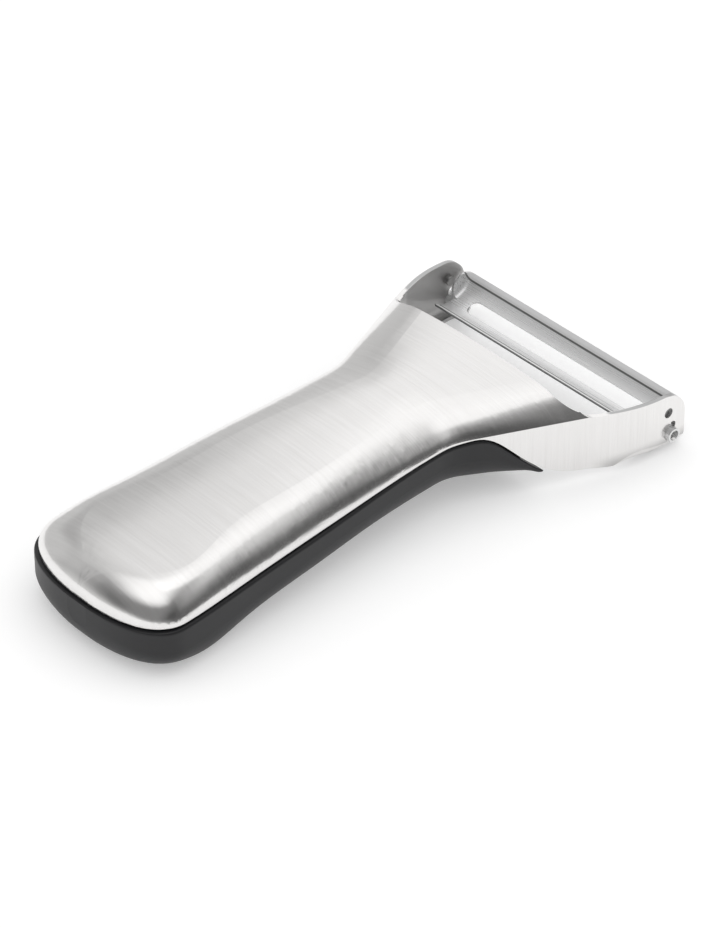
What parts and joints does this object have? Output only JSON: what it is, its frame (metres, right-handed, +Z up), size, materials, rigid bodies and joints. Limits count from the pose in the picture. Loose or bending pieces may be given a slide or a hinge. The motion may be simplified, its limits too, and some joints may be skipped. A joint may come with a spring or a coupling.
{
  "type": "vegetable peeler",
  "caption": "Y-shaped vegetable peeler with a pressed steel shell and arms, a soft grip underneath and a slotted blade that swivels between the arms.",
  "frame": {"origin": "under the middle of the peeler, on the surface it lies on", "axes": "+Y from the butt of the handle to the blade, +Z up out of the steel shell, +X to the right arm"},
  "size_m": [0.073, 0.1422, 0.0222],
  "materials": {
    "brushed_steel": "brushed across the handle",
    "core_plastic": "matte",
    "grip_rubber": "matte",
    "blade_steel": "rolled bright, with ground edges"
  },
  "bodies": {
    "handle": {"steel_body": "brushed_steel", "grip_core": "core_plastic", "soft_grip": "grip_rubber"},
    "blade_body": {"blade": "blade_steel"}
  },
  "joints": [
    {"name": "blade_pivot", "type": "hinge", "parent": "handle", "child": "blade_body", "pos_m": [0, 0.06653, 0.0045], "axis": [1, 0, 0], "range_deg": [-45, 0]}
  ]
}
